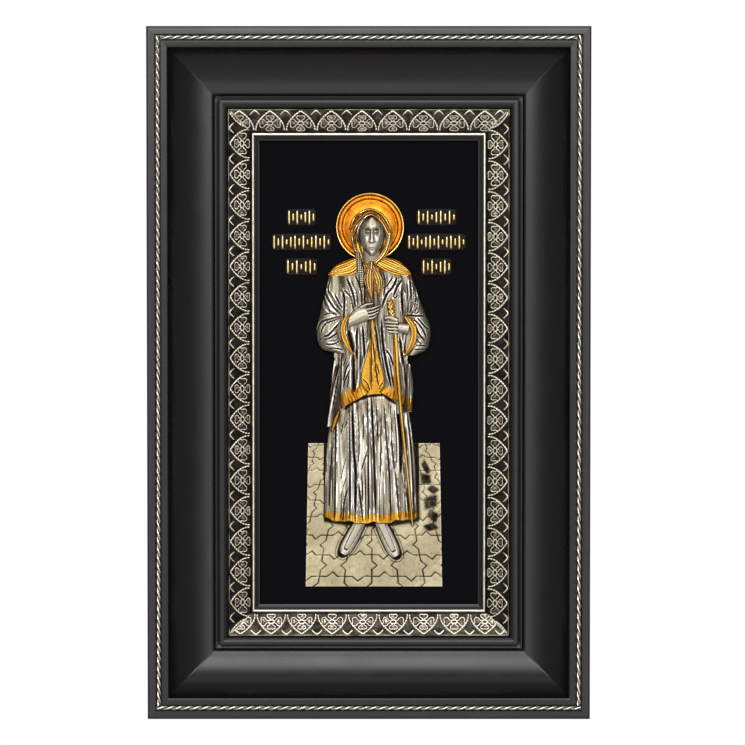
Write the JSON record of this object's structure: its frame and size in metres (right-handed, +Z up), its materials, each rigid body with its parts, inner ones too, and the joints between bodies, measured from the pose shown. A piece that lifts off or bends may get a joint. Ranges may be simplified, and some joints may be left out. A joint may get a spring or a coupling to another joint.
{
  "type": "icon panel",
  "caption": "Wall icon panel: black lacquered cove frame with twisted silver wire, embossed silver border, and a silver and gilt relief of a standing haloed figure with a staff",
  "frame": {"origin": "the middle of the top rail's back face, where the panel hangs on the wall", "axes": "+X to the viewer's right, +Z up, the front faces -Y, the wall is the plane y = 0"},
  "size_m": [0.178, 0.0265, 0.278],
  "materials": {
    "lacquered_wood": "black lacquer, satin gloss",
    "silver_wire": "twisted silver wire, bright with dark hollows",
    "embossed_silver": "embossed silver, oxidised ground, polished ridges",
    "velvet_board": "board with a black velvet face",
    "oxidised_silver": "electroformed silver, dark patina in the hollows",
    "gilt_silver": "gilt silver, orange in the hollows"
  },
  "bodies": {
    "root": {"frame_rail_top": "lacquered_wood", "frame_rail_right": "lacquered_wood", "frame_rail_bottom": "lacquered_wood", "frame_rail_left": "lacquered_wood", "liner_rail_top": "lacquered_wood", "liner_rail_right": "lacquered_wood", "liner_rail_bottom": "lacquered_wood", "liner_rail_left": "lacquered_wood", "twisted_wire_top": "silver_wire", "twisted_wire_right": "silver_wire", "twisted_wire_bottom": "silver_wire", "twisted_wire_left": "silver_wire", "border_strip_top": "embossed_silver", "border_strip_right": "embossed_silver", "border_strip_bottom": "embossed_silver", "border_strip_left": "embossed_silver", "ground_panel": "velvet_board", "figure_relief": "oxidised_silver", "inscription_left_1": "gilt_silver", "inscription_left_2": "gilt_silver", "inscription_left_3": "gilt_silver", "inscription_right_1": "gilt_silver", "inscription_right_2": "gilt_silver", "inscription_right_3": "gilt_silver"}
  },
  "joints": []
}
